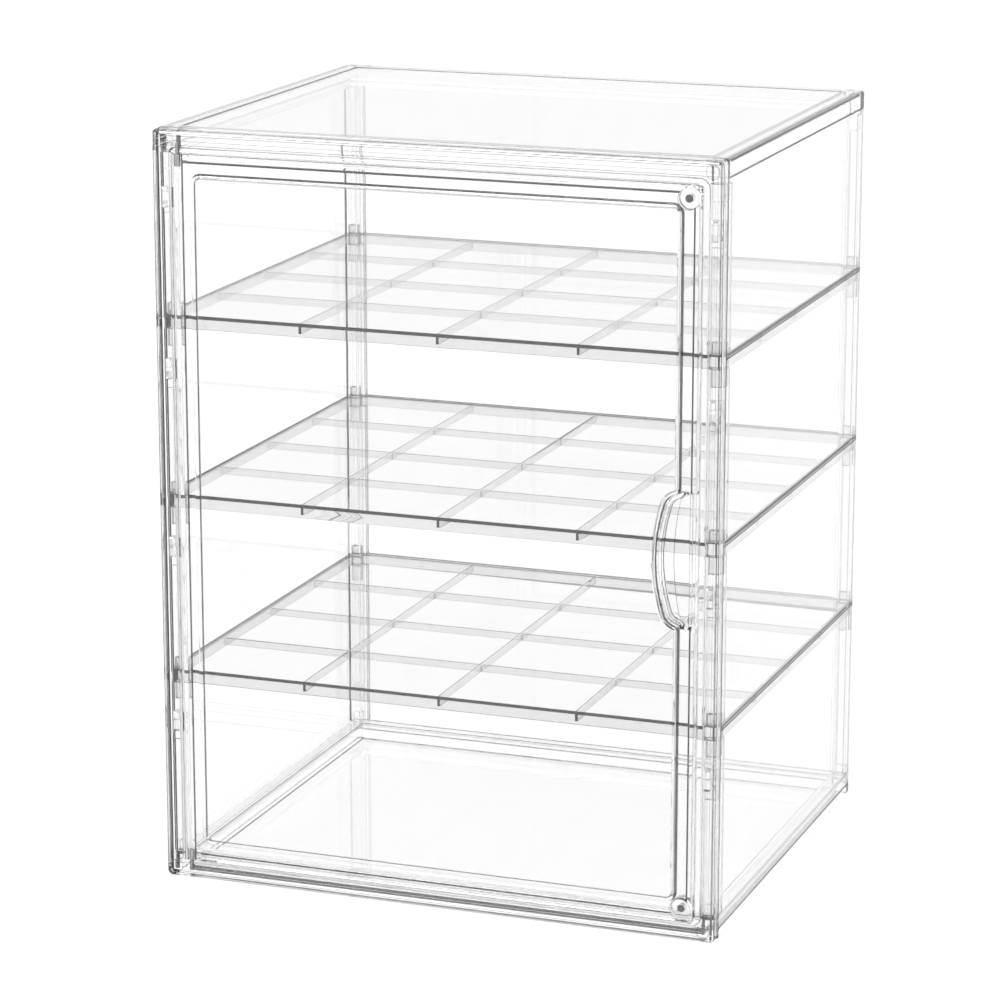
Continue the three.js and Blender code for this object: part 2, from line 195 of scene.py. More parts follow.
PULL_HALF = SHOULDER_RISE + (PULL_SHOULDER + PULL_FILLET) * math.sin(FILLET_LEAN)


# ---------------------------------------------------------------- fillets painted as lines of shade
def all_round(place):
    """Every face of a band."""
    return True


def at_pull(place):
    """Between the ends of the finger pull."""
    return place.x > 0 and abs(place.z - DOOR_MIDDLE) < PULL_HALF - PULL_END


def off_pull(place):
    return not at_pull(place)


def above_foot(place):
    """Not on the bottom bars, where the light comes up from the floor."""
    return place.z > DOOR_LOW + WINDOW_INSET


def rim_side(place):
    return off_pull(place) and above_foot(place)


def at_sides(place):
    """Faces on the two sides of the hinge barrel, painted as shaded lines."""
    return abs(place.x - HINGE_X) > DOOR_RIM_DEPTH / 2 * BARREL_SIDE


def marks(rows):
    """Each row's test of which faces after it are painted as a shaded line, or None."""
    return [row[-1] if callable(row[-1]) else None for row in rows]


# ---------------------------------------------------------------- outlines
def arc(cx, cz, radius, start, end, steps):
    """Points of a circular arc, both ends included."""
    turn = (end - start) / steps
    angles = [start + turn * i for i in range(steps + 1)]
    return [(cx + radius * math.cos(a), cz + radius * math.sin(a)) for a in angles]


def rounded(left, right, low, high, right_radius, left_radius):
    """A rounded rectangle from its lower right corner round to its lower left one."""
    quarter = math.pi / 2
    r, q = right_radius, left_radius
    return [
        *arc(right - r, low + r, r, -quarter, 0, CORNER_STEPS),
        *arc(right - r, high - r, r, 0, quarter, CORNER_STEPS),
        *arc(left + q, high - q, q, quarter, 2 * quarter, CORNER_STEPS),
        *arc(left + q, low + q, q, 2 * quarter, 3 * quarter, CORNER_STEPS),
    ]


def facing(points, y):
    """An outline seen from the front, at depth y."""
    return [(x, y, z) for x, z in points]


def level(points, z):
    """An outline seen from above, at height z."""
    return [(x, y, z) for x, y in points]


# ---------------------------------------------------------------- solids
def piece_from(name, bm):
    """An object with a closed mesh and two material slots: one for faces, one for lines of painted
    shade.
    """
    bmesh.ops.recalc_face_normals(bm, faces=bm.faces)
    mesh = bpy.data.meshes.new(name)
    bm.to_mesh(mesh)
    bm.free()
    mesh.shade_smooth()
    mesh.set_sharp_from_angle(angle=SHARP_ANGLE)
    mesh.materials.append(None)
    mesh.materials.append(None)
    piece = bpy.data.objects.new(name, mesh)
    bpy.context.scene.collection.objects.link(piece)
    return piece


def skin(name, loops, lines=(), ring=False):
    """A solid through loops of equal length, capped at both ends, or joined into a ring.

    lines holds, for each loop, a test of which faces in the band that follows it are painted as a
    shaded line.
    """
    bm = bmesh.new()
    rows = [[bm.verts.new(point) for point in loop] for loop in loops]
    count = len(rows[0])
    following = rows[1:] + rows[:1] if ring else rows[1:]
    lines = lines or [None] * len(rows)
    for row, after, is_line in zip(rows, following, lines):
        for i in range(count):
            j = (i + 1) % count
            face = bm.faces.new((row[i], row[j], after[j], after[i]))
            # faces on a line take the second material, with painted shade
            if is_line and is_line(face.calc_center_median()):
                face.material_index = 1
    if not ring:
        bm.faces.new(rows[0])
        bm.faces.new(rows[-1])
    return piece_from(name, bm)


def turned(name, profile, place):
    """A solid turned from rows of (radius, distance along its axis); place puts it in the frame."""
    loops = []
    for row in profile:
        ring = arc(0, 0, row[0], 0, 2 * math.pi, ROUND_SIDES)[:-1]
        loops.append([place(u, v, row[1]) for u, v in ring])
    return skin(name, loops, marks(profile))


def combine(piece, tools, operation):
    """Joins the tools to a piece, or cuts them out of it, and removes them."""
    for tool in tools:
        change = piece.modifiers.new("combine", "BOOLEAN")
        change.object = tool
        change.operation = operation
        change.solver = "MANIFOLD"
    bpy.context.view_layer.update()
    evaluated = piece.evaluated_get(bpy.context.evaluated_depsgraph_get())
    mesh = bpy.data.meshes.new_from_object(evaluated)
    piece.modifiers.clear()
    piece.data = mesh
    mesh.shade_smooth()
    mesh.set_sharp_from_angle(angle=SHARP_ANGLE)
    for tool in tools:
        bpy.data.objects.remove(tool)
    return piece


def merge_flats(piece, angle):
    """Joins faces that lie in one plane, and points that lie together."""
    weld = piece.modifiers.new("weld", "WELD")
    weld.merge_threshold = WELD_DISTANCE
    flat = piece.modifiers.new("flat", "DECIMATE")
    flat.decimate_type = "DISSOLVE"
    flat.angle_limit = angle
    flat.delimit = {"MATERIAL"}


def even_shading(piece):
    """Flat faces keep their own normals, and only fillets are shaded round."""
    normals = piece.modifiers.new("normals", "WEIGHTED_NORMAL")
    normals.mode = "FACE_AREA"
    normals.weight = 100
    normals.keep_sharp = True


def finish_piece(piece, body, materials, slot, *replaced):
    """materials are the piece's face material and its line material, which paints shade on fillets.
    """
    merge_flats(piece, FLAT_ANGLE)
    even_shading(piece)
    for i, material in enumerate(materials):
        piece.data.materials[i] = material
    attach(piece, body)
    if replaced:
        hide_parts(*replaced)
    return piece


# ---------------------------------------------------------------- materials
def new_material(name):
    """A material with an empty node tree, its nodes and its links."""
    material = bpy.data.materials.new(name)
    material.use_nodes = True
    nodes = material.node_tree.nodes
    nodes.clear()
    return material, nodes, material.node_tree.links


def noise(nodes, links, source, scale, detail, stretch=(1, 1, 1)):
    """Noise on the object's own coordinates; scale is in cycles per metre."""
    mapping = nodes.new("ShaderNodeMapping")
    mapping.inputs["Scale"].default_value = stretch
    texture = nodes.new("ShaderNodeTexNoise")
    texture.inputs["Scale"].default_value = scale
    texture.inputs["Detail"].default_value = detail
    links.new(source.outputs["Object"], mapping.inputs["Vector"])
    links.new(mapping.outputs["Vector"], texture.inputs["Vector"])
    return texture.outputs["Fac"]


def between(nodes, links, value, low, high):
    """Noise, most of which is from 0.35 to 0.65, spread from low to high."""
    spread = nodes.new("ShaderNodeMapRange")
    spread.inputs["From Min"].default_value = 0.35
    spread.inputs["From Max"].default_value = 0.65
    spread.inputs["To Min"].default_value = low
    spread.inputs["To Max"].default_value = high
    links.new(value, spread.inputs["Value"])
    return spread.outputs["Result"]


def calculate(nodes, links, operation, first, second):
    """The result of an operation on two values, each a number or a socket."""
    step = nodes.new("ShaderNodeMath")
    step.operation = operation
    for socket, value in zip(step.inputs, (first, second)):
        if isinstance(value, (int, float)):
            socket.default_value = value
        else:
            links.new(value, socket)
    return step.outputs["Value"]


def upright_faces(nodes, links, coordinates):
    """1 on faces that stand upright, 0 on level ones."""
    split = nodes.new("ShaderNodeSeparateXYZ")
    links.new(coordinates.outputs["Normal"], split.inputs["Vector"])
    level_part = calculate(nodes, links, "ABSOLUTE", split.outputs["Z"], 0)
    return calculate(nodes, links, "SUBTRACT", 1, level_part)


def mixed(nodes, links, share, first, second):
    """The first shader, with this share of the second."""
    mix = nodes.new("ShaderNodeMixShader")
    links.new(share, mix.inputs["Fac"])
    links.new(first, mix.inputs[1])
    links.new(second, mix.inputs[2])
    return mix.outputs["Shader"]


def relief(nodes, links, height, strength, distance):
    """A surface normal that follows a height pattern."""
    bump = nodes.new("ShaderNodeBump")
    bump.inputs["Strength"].default_value = strength
    bump.inputs["Distance"].default_value = distance
    links.new(height, bump.inputs["Height"])
    return bump.outputs["Normal"]


def moulded_surface(nodes, links, coordinates, colour):
    """Clear polystyrene with fine rubs, a little haze and moulding waves."""
    plastic = nodes.new("ShaderNodeBsdfPrincipled")
    plastic.inputs["Base Color"].default_value = (*colour, 1)
    plastic.inputs["Transmission Weight"].default_value = 1
    plastic.inputs["IOR"].default_value = PLASTIC_IOR
    rubs = noise(nodes, links, coordinates, RUB_SCALE, 4, (1, 0.15, 0.4))
    haze = noise(nodes, links, coordinates, HAZE_SCALE, 3)
    wear = calculate(nodes, links, "MULTIPLY", rubs, haze)
    roughness = between(nodes, links, wear, SMOOTHEST, ROUGHEST)
    links.new(roughness, plastic.inputs["Roughness"])
    waves = noise(nodes, links, coordinates, WAVE_SCALE, 2)
    links.new(relief(nodes, links, waves, 0.4, WAVE_HEIGHT), plastic.inputs["Normal"])
    return plastic.outputs["BSDF"]


def painted_shade_share(nodes, links, coordinates, trapped_shade, upright_shade, fillet_shade):
    """The share of painted shade at a face: seen from inside at a steep tilt, on upright faces, and
    all over a fillet.
    """
    inside = nodes.new("ShaderNodeNewGeometry").outputs["Backfacing"]
    tilt = nodes.new("ShaderNodeLayerWeight")
    tilt.inputs["Blend"].default_value = 0.5
    trapped = calculate(nodes, links, "GREATER_THAN", tilt.outputs["Facing"], TRAPPED_TILT)
    shade_amount = calculate(nodes, links, "MULTIPLY", inside, trapped)
    shade_amount = calculate(nodes, links, "MULTIPLY", shade_amount, trapped_shade)
    if upright_shade:
        # painted shade on every upright face
        sides = upright_faces(nodes, links, coordinates)
        sides = calculate(nodes, links, "MULTIPLY", sides, upright_shade)
        shade_amount = calculate(nodes, links, "MAXIMUM", shade_amount, sides)
    return calculate(nodes, links, "MAXIMUM", shade_amount, fillet_shade)


def open_to_light(nodes, links, seen):
    """The plastic as seen, but a painted pale glow (an emission, no lamp) once a ray has bounced too
    often, and clear to shadow and diffuse rays.
    """
    ray = nodes.new("ShaderNodeLightPath")
    spent = calculate(nodes, links, "GREATER_THAN", ray.outputs["Ray Depth"], MOST_BOUNCES)
    # painted glow: an even pale emission, not a lamp
    pale = nodes.new("ShaderNodeEmission")
    pale.inputs["Color"].default_value = PAINTED_GLOW_COLOUR
    seen = mixed(nodes, links, spent, seen, pale.outputs["Emission"])
    shadow, diffuse = ray.outputs["Is Shadow Ray"], ray.outputs["Is Diffuse Ray"]
    passing = calculate(nodes, links, "MAXIMUM", shadow, diffuse)
    through = nodes.new("ShaderNodeBsdfTransparent")
    through.inputs["Color"].default_value = SHADOW_TINT
    return mixed(nodes, links, passing, seen, through.outputs["BSDF"])


def clear_plastic(name, colour, trapped_shade, upright_shade, fillet_shade=0):
    """Clear moulded polystyrene.

    The last three numbers are shares of painted shade, a dark diffuse mixed into the plastic:
    where a face seen from inside is steeply tilted, on each upright face, and all over a fillet,
    where it stands in for the dark parts of a room.
    """
    material, nodes, links = new_material(name)
    output = nodes.new("ShaderNodeOutputMaterial")
    coordinates = nodes.new("ShaderNodeTexCoord")
    surface = moulded_surface(nodes, links, coordinates, colour)
    shade_amount = painted_shade_share(nodes, links, coordinates, trapped_shade, upright_shade, fillet_shade)
    # painted shade: a dark diffuse mixed into the clear plastic
    dark = nodes.new("ShaderNodeBsdfDiffuse")
    dark.inputs["Color"].default_value = PAINTED_SHADE_COLOUR
    seen = mixed(nodes, links, shade_amount, surface, dark.outputs["BSDF"])
    links.new(open_to_light(nodes, links, seen), output.inputs["Surface"])
    return material


def plastic_pair(name, trapped_shade, upright_shade, fillet_shade):
    """A piece's clear plastic, and a darker copy of it, with painted shade, for its fillets."""
    return (
        clear_plastic(name, CLEAR_COLOUR, trapped_shade, upright_shade),
        # the fillets' copy, with painted shade all over
        clear_plastic(f"{name}_shaded_fillets", SHADED_FILLET_COLOUR, trapped_shade, upright_shade, fillet_shade),
    )


def two_tone(nodes, links, share, first, second):
    """A mix of two colours, with this share of the second."""
    mix = nodes.new("ShaderNodeMix")
    mix.data_type = "RGBA"
    mix.inputs["A"].default_value = first
    mix.inputs["B"].default_value = second
    links.new(share, mix.inputs["Factor"])
    return mix.outputs["Result"]


def plated_metal(name, colour, roughness, grain):
    """Bright metal with fine brushing and a little tarnish. grain is in cycles per metre."""
    material, nodes, links = new_material(name)
    output = nodes.new("ShaderNodeOutputMaterial")
    coordinates = nodes.new("ShaderNodeTexCoord")
    metal = nodes.new("ShaderNodeBsdfPrincipled")
    metal.inputs["Metallic"].default_value = 1
    tarnished = (*[channel * 0.6 for channel in colour], 1)
    patches = noise(nodes, links, coordinates, TARNISH_SCALE, 4)
    tone = two_tone(nodes, links, patches, (*colour, 1), tarnished)
    links.new(tone, metal.inputs["Base Color"])
    brushing = noise(nodes, links, coordinates, grain, 6, (1, 1, 0.1))
    sheen = between(nodes, links, brushing, roughness * 0.7, roughness * 1.4)
    links.new(sheen, metal.inputs["Roughness"])
    links.new(relief(nodes, links, brushing, 0.3, BRUSHING_HEIGHT), metal.inputs["Normal"])
    links.new(metal.outputs["BSDF"], output.inputs["Surface"])
    return material


def pale_floor():
    """Matt paper, a little uneven in tone."""
    material, nodes, links = new_material("pale_floor")
    output = nodes.new("ShaderNodeOutputMaterial")
    coordinates = nodes.new("ShaderNodeTexCoord")
    surface = nodes.new("ShaderNodeBsdfPrincipled")
    surface.inputs["Specular IOR Level"].default_value = 0
    surface.inputs["Roughness"].default_value = 1
    clouds = noise(nodes, links, coordinates, 5, 3)
    tone = two_tone(nodes, links, clouds, (0.88, 0.88, 0.88, 1), (0.9, 0.9, 0.9, 1))
    links.new(tone, surface.inputs["Base Color"])
    links.new(surface.outputs["BSDF"], output.inputs["Surface"])
    return material


# ---------------------------------------------------------------- front frame
def opening_edge(outward):
    """The door opening's edge, moved outward into the frame, or inward if negative."""
    return rounded(
        -HALF_WIDTH + FRAME_SIDE_BAR - outward,
        HALF_WIDTH - FRAME_SIDE_BAR + outward,
        FRAME_BOTTOM_BAR - outward,
        CASE_HEIGHT - FRAME_TOP_BAR + outward,
        max(CORNER_RADIUS + outward, SQUARE_RADIUS),
        SQUARE_RADIUS if outward < FIT_GAP else SQUARE_RADIUS + outward,
    )


def frame_edge(inward):
    """The frame's outer edge, moved inward."""
    radius = max(CORNER_RADIUS - inward, SQUARE_RADIUS)
    return rounded(
        -HALF_WIDTH + inward,
        HALF_WIDTH - inward,
        inward,
        CASE_HEIGHT - inward,
        radius,
        radius,
    )


def frame_ring():
    """The frame's moulding, through rows of (outline, inward, depth, lines) in millimetres."""
    back, stop = FRAME_DEPTH / mm, (FRAME_DEPTH - STOP_THICKNESS) / mm
    flange, wall, front = STOP_FLANGE / mm, FRAME_WALL / mm, FRAME_FRONT / mm
    first, second = FACE_STEP / mm, FACE_STEP * 2 / mm
    rounded_corner = [
        (frame_edge, 0, 2.4),
        (frame_edge, 0.25, 1.1, all_round),
        (frame_edge, 0.5, 0.65),
        (frame_edge, 1.1, 0.17, all_round),
        (frame_edge, 1.4, 0.08),
        (frame_edge, 2.0, 0),
    ]
    stepped_face = [
        (frame_edge, 3.2, 0, all_round),
        (frame_edge, 3.45, first),
        (frame_edge, 5.9, first, all_round),
        (frame_edge, 6.15, second),
    ]
    opening_and_stop = [
        (opening_edge, 1.0, second),
        (opening_edge, 0.25, second + 0.25, above_foot),
        (opening_edge, 0, second + 0.6),
        (opening_edge, 0.01, stop),
        (opening_edge, 0.3 - flange, stop, above_foot),
        (opening_edge, -flange, stop + 0.3),
        (opening_edge, 0.02 - flange, back - 0.3),
        (opening_edge, 0.3 - flange, back),
    ]
    hollow_back = [
        (opening_edge, wall - 0.3, back),
        (opening_edge, wall, back - 0.3),
        (opening_edge, wall + 0.15, front + 0.5, above_foot),
        (opening_edge, wall + 0.4, front + 0.2),
        (opening_edge, wall + 0.8, front),
        (frame_edge, wall + 0.8, front),
        (frame_edge, wall + 0.4, front + 0.2, above_foot),
        (frame_edge, wall + 0.15, front + 0.5),
        (frame_edge, wall, back - 0.3),
        (frame_edge, wall - 0.3, back),
    ]
    outer_edge = [(frame_edge, 0.3, back), (frame_edge, 0.02, back - 0.3)]
    section = rounded_corner + stepped_face + opening_and_stop + hollow_back + outer_edge
    loops = [facing(row[0](row[1] * mm), FACE_Y + row[2] * mm) for row in section]
    return skin("front_frame_moulding", loops, marks(section), ring=True)


def hook(x, z):
    """A barbed hook on the frame's back, which catches in a post."""
    root = FACE_Y + FRAME_FRONT - FIT_GAP
    tip = FRAME_BACK_Y + HOOK_REACH
    half = HOOK_HEIGHT / 2
    outline = [
        (root, z - half),
        (FRAME_BACK_Y + FIT_GAP, z - half),  # where the hook is clear of the frame
        (FRAME_BACK_Y + FIT_GAP * 3, z - half),
        (tip - HOOK_REACH / 2, z - half),
        (tip, z - half * 0.4),
        (tip, z + half * 0.7),
        (tip - HOOK_REACH / 3, z + half),
        (root, z + half),
    ]
    loops = [[(x + side * HOOK_WIDTH / 2, y, h) for y, h in outline] for side in (-1, 1)]
    return skin("hook", loops)


def along_y(cx, cz):
    """Puts a turned profile on an axis that runs from front to back."""
    return lambda u, v, y: (cx + u, y, cz + v)


def along_z(cx, cy):
    """Puts a turned profile on an upright axis."""
    return lambda u, v, z: (cx + u, cy + v, z)


def magnet_boss(cx, cz, front, back):
    """A round boss that holds a magnet."""
    edge = 0.4 * mm
    profile = [
        (BOSS_RADIUS - edge, front, all_round),
        (BOSS_RADIUS, front + edge),
        (BOSS_RADIUS, back - edge / 2),
        (BOSS_RADIUS - edge / 2, back),
    ]
    return turned("boss", profile, along_y(cx, cz))


def magnet_pocket(cx, cz, bottom, back):
    """A cutter for the magnet's pocket, which is open at the back."""
    bore = MAGNET_RADIUS + FIT_GAP
    return turned("pocket", [(bore, bottom), (bore, back + FIT_GAP)], along_y(cx, cz))


def magnet_places():
    """Where the door's magnets are, from the frame: (x, z) of the top and the bottom one."""
    places = []
    for end in ("top", "bottom"):
        low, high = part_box(f"door_magnet_{end}")
        places.append(((low.x + high.x) / 2, (low.z + high.z) / 2))
    return places


def corner_seam(side, end_z, up):
    """A cutter for the fine groove round one of the frame's corner blocks."""
    low_x, high_x = sorted(side * (HALF_WIDTH - inset) for inset in (SEAM_INSET, CORNER_BLOCK))
    low_z, high_z = sorted(end_z + up * inset for inset in (SEAM_INSET, CORNER_BLOCK))
    section = [(0, -SEAM_WIDTH), (SEAM_WIDTH, -SEAM_WIDTH), (SEAM_WIDTH, SEAM_DEPTH), (0, SEAM_DEPTH)]
    loops = []
    for inward, depth in section:
        radius = CORNER_RADIUS - inward
        outline = rounded(
            low_x + inward, high_x - inward, low_z + inward, high_z - inward, radius, radius
        )
        loops.append(facing(outline, FACE_Y + depth))
    return skin("seam", loops, [all_round] * len(section), ring=True)


def hooks():
    """Two hooks to a tier, one at each side."""
    post_x = HALF_WIDTH - PANEL - POST_HALF
    tops = [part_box(f"right_wall_{tier}")[1].z for tier in range(1, 5)]
    return [hook(side * post_x, top - HOOK_DROP) for top in tops for side in (-1, 1)]


def front_frame(plastic):
    ring = frame_ring()
    seams = [
        corner_seam(side, end_z, up) for side in (-1, 1) for end_z, up in ((0, 1), (CASE_HEIGHT, -1))
    ]
    combine(ring, seams, "DIFFERENCE")
    front = FRAME_BACK_Y - STOP_THICKNESS - BOSS_PROUD
    back = FRAME_BACK_Y + BOSS_PROUD
    places = magnet_places()
    bosses = [magnet_boss(x, z, front, back) for x, z in places]
    combine(ring, hooks() + bosses, "UNION")
    pockets = [magnet_pocket(x, z, back - FRAME_POCKET, back) for x, z in places]
    combine(ring, pockets, "DIFFERENCE")
    return finish_piece(ring, "case", plastic, "frame_plastic", "front_frame")


# ---------------------------------------------------------------- door
def ramp(value, start, end):
    """0 before start, 1 after end, straight between them."""
    return min(max((value - start) / (end - start), 0), 1)


def pull_edge(inward):
    """The bulge from its lower end up: fillet, shoulder, long side, shoulder and fillet."""
    half = math.pi
    fillet, shoulder = PULL_FILLET - inward, PULL_SHOULDER + inward
    low, high = DOOR_MIDDLE - PULL_HALF, DOOR_MIDDLE + PULL_HALF
    low_shoulder, high_shoulder = DOOR_MIDDLE - SHOULDER_RISE, DOOR_MIDDLE + SHOULDER_RISE
    long_side = PULL_RADIUS + inward
    lean, steep = PULL_LEAN, FILLET_LEAN
    return [
        *arc(FILLET_X, low, fillet, 0, steep, FILLET_STEPS),
        *arc(SHOULDER_X, low_shoulder, shoulder, half + steep, half + lean, SHOULDER_STEPS)[1:],
        *arc(PULL_CENTRE_X, DOOR_MIDDLE, long_side, half + lean, half - lean, PULL_STEPS)[1:],
        *arc(SHOULDER_X, high_shoulder, shoulder, half - lean, half - steep, SHOULDER_STEPS)[1:],
        *arc(FILLET_X, high, fillet, -steep, 0, FILLET_STEPS)[1:],
    ]


def window_edge(inward):
    """The raised window's edge with the pull's bulge, moved inward."""
    corner = WINDOW_RADIUS - inward
    quarter = math.pi / 2
    left, right = -WINDOW_RIGHT + inward + corner, WINDOW_RIGHT - inward - corner
    low = DOOR_LOW + WINDOW_INSET + inward + corner
    high = DOOR_HIGH - WINDOW_INSET - inward - corner
    step = WINDOW_RIGHT / 50  # between the points that pair with the rim's, beside the hinge
    return [
        *arc(right, low, corner, -quarter, 0, CORNER_STEPS),
        *pull_edge(inward),
        *arc(right, high, corner, 0, quarter, CORNER_STEPS),
        (left + 2 * step, high + corner),
        (left + step, high + corner),
        *arc(left, high, corner, quarter, 2 * quarter, CORNER_STEPS),
        *arc(left, low, corner, 2 * quarter, 3 * quarter, CORNER_STEPS),
        (left + step, low - corner),
        (left + 2 * step, low - corner),
    ]


def rim_edge(inward):
    """The door's edge moved inward, with the same points as window_edge."""
    quarter = math.pi / 2
    radius = max(CORNER_RADIUS - inward, SQUARE_RADIUS)
    hinge_inset = DOOR_RIM_DEPTH / 2 + SHEET_PAST_HINGE + inward * HINGE_SHARE
    left = -DOOR_RIGHT + hinge_inset + SQUARE_RADIUS
    right = DOOR_RIGHT - inward - radius
    low, high = DOOR_LOW + inward, DOOR_HIGH - inward
    start = RIM_START_X
    return [
        *arc(right, low + radius, radius, -quarter, 0, CORNER_STEPS),
        *[(DOOR_RIGHT - inward, z) for x, z in pull_edge(0)],
        *arc(right, high - radius, radius, 0, quarter, CORNER_STEPS),
        (start + HINGE_RAMP, high),
        (start, high),
        *arc(left, high - SQUARE_RADIUS, SQUARE_RADIUS, quarter, 2 * quarter, CORNER_STEPS),
        *arc(left, low + SQUARE_RADIUS, SQUARE_RADIUS, 2 * quarter, 3 * quarter, CORNER_STEPS),
        (start, low),
        (start + HINGE_RAMP, low),
    ]


def floor_edge(share):
    """A line across the pull's floor, that share of the way from its wall to the rim."""
    near = window_edge(-POCKET_FOOT - PULL_WALL)
    far = rim_edge(DOOR_RIM_WIDTH + POCKET_EDGE)
    return [
        (x0 + (x1 - x0) * share, z0 + (z1 - z0) * share) for (x0, z0), (x1, z1) in zip(near, far)
    ]


def door_loop(points, depth, pull_depth, hinge_depth, pull_half):
    """One loop of the door's sheet: its depth changes at the finger pull and beside the hinge."""
    loop = []
    for x, z in points:
        by_pull = 0
        if x > 0:
            by_pull = 1 - ramp(abs(z - DOOR_MIDDLE), pull_half, pull_half + PULL_RAMP)
        by_hinge = 1 - ramp(x, RIM_START_X, RIM_START_X + HINGE_RAMP)
        y = depth + (pull_depth - depth) * by_pull + (hinge_depth - depth) * by_hinge
        loop.append((x, FACE_Y + y, z))
    return loop


def level_at(depth):
    """The same depth all round, at the pull and beside the hinge."""
    return depth, depth, depth


def front_rows(valley, pocket, inner, outer):
    """The door's rows from the window's face to the outer edge of the rim.

    Each row is (outline, inward, depths, half length of the pull, lines). The move inward and the
    depths are in millimetres, except that floor_edge takes a share. The depths are those all
    round, at the pull and beside the hinge.
    """
    raised = -WINDOW_RAISE / mm
    wall = PULL_WALL / mm
    foot = wall + POCKET_FOOT / mm
    rim = DOOR_RIM_WIDTH / mm
    window = [
        (window_edge, 1.2, level_at(raised), inner),
        (window_edge, 0.5, level_at(raised + 0.15), inner),
        (window_edge, 0.1, level_at(raised + 0.6), inner, all_round),
        (window_edge, -0.15, level_at(valley - 0.5), inner, off_pull),
        (window_edge, -0.6, level_at(valley), inner),
    ]
    pull_wall = [
        (window_edge, 0.05 - wall, level_at(valley), inner, at_pull),
        (window_edge, -0.1 - wall, (valley, valley + 0.4, valley), inner),
        (window_edge, -0.3 - wall, (valley, pocket - 0.9, valley), inner, at_pull),
        (window_edge, -0.6 - wall, (valley, pocket - 0.4, valley), inner),
        (window_edge, -foot, (valley, pocket - 0.3, valley), inner),
    ]
    pull_floor = [
        (floor_edge, 0.35, (valley, pocket - 0.2, valley), inner, at_pull),
        (floor_edge, 0.37, (valley, pocket, valley), inner),
        (rim_edge, rim + POCKET_EDGE / mm, (valley, pocket, valley), inner),
        (rim_edge, rim + 1.1, (valley, pocket - 0.5, valley), inner),
        (rim_edge, rim + 0.8, (valley, valley + 0.3, valley), inner, at_pull),
    ]
    rim_front = [
        (rim_edge, rim + 0.5, level_at(valley), inner, rim_side),
        (rim_edge, rim, (valley - 0.4, valley, valley), outer, off_pull),
        (rim_edge, rim - 0.35, (0.6, valley, valley), outer, rim_side),
        (rim_edge, rim - 0.8, (0.1, valley, valley), outer, rim_side),
        (rim_edge, rim - 1.2, (0, valley, valley), outer),
        (rim_edge, 1.0, (0, valley, valley), outer),
        (rim_edge, 0.3, (0.25, valley + 0.15, valley), outer),
        (rim_edge, 0, (0.9, valley + 0.6, valley + 0.4), outer),
    ]
    return window + pull_wall + pull_floor + rim_front


def back_rows(valley_back, pocket_back, outer):
    """The door's rows from the rim's outer edge to the middle of its back, as in front_rows."""
    rim_back = DOOR_RIM_DEPTH / mm
    window_back = (DOOR_PANEL - WINDOW_RAISE) / mm
    rim = DOOR_RIM_WIDTH / mm
    step = STEP_WALL / mm
    rim_rear = [
        (rim_edge, 0.02, (rim_back - 0.4, rim_back - 0.4, valley_back - 0.3), outer),
        (rim_edge, 0.4, (rim_back, rim_back, valley_back), outer),
        (rim_edge, rim - 0.3, (rim_back, rim_back, valley_back), outer),
        (rim_edge, rim, (valley_back + 0.2, pocket_back - 0.5, valley_back), outer),
        (rim_edge, rim + 0.5, (valley_back, pocket_back, valley_back), outer),
    ]
    window_rear = [
        (window_edge, -0.7, (valley_back, pocket_back, valley_back), outer),
        (window_edge, -0.2, (valley_back, pocket_back - 0.5, valley_back), outer),
        (window_edge, 0.1, level_at(valley_back), outer),
        (window_edge, step - 0.3, level_at(valley_back), outer),
        (window_edge, step, level_at(valley_back - 0.3), outer),
        (window_edge, step + 0.2, level_at(window_back + 0.4), outer),
        (window_edge, step + 0.7, level_at(window_back), outer),
    ]
    return rim_rear + window_rear


def door_sheet():
    """The door's moulding as one bent sheet, from the window's face round the rim to its back."""
    valley = VALLEY_DEPTH / mm
    pocket_back = FRAME_DEPTH / mm
    outer = PULL_HALF - PULL_END
    inner = outer - 1 * mm
    front = front_rows(valley, pocket_back - PULL_FLOOR / mm, inner, outer)
    section = front + back_rows(valley + DOOR_PANEL / mm, pocket_back, outer)
    loops = []
    for row in section:
        edge, offset, depths, half = row[:4]
        points = edge(offset) if edge is floor_edge else edge(offset * mm)
        loops.append(door_loop(points, *[depth * mm for depth in depths], half))
    return skin("door_moulding", loops, marks(section))


def hinge_barrel():
    """The round bar on the door's hinge side, with a pin hole in each end."""
    radius = DOOR_RIM_DEPTH / 2
    hole = PIN_RADIUS + FIT_GAP
    edge = 0.3 * mm
    lower = [
        (hole, DOOR_LOW + PIN_REACH + FIT_GAP),
        (hole, DOOR_LOW + edge / 2),
        (hole + edge / 2, DOOR_LOW),
        (radius - edge, DOOR_LOW),
        (radius, DOOR_LOW + edge, at_sides),
    ]
    upper = [(row[0], DOOR_HIGH + DOOR_LOW - row[1]) for row in reversed(lower)]
    return turned("barrel", lower + upper, along_z(HINGE_X, HINGE_Y))


def door(plastic):
    sheet = door_sheet()
    front = FACE_Y - BOSS_PROUD
    back = FACE_Y + DOOR_RIM_DEPTH + BOSS_PROUD
    places = magnet_places()
    bosses = [magnet_boss(x, z, front, back) for x, z in places]
    combine(sheet, [hinge_barrel(), *bosses], "UNION")
    pockets = [magnet_pocket(x, z, back - DOOR_POCKET, back) for x, z in places]
    combine(sheet, pockets, "DIFFERENCE")
    return finish_piece(sheet, "door_leaf", plastic, "door_plastic", "door")


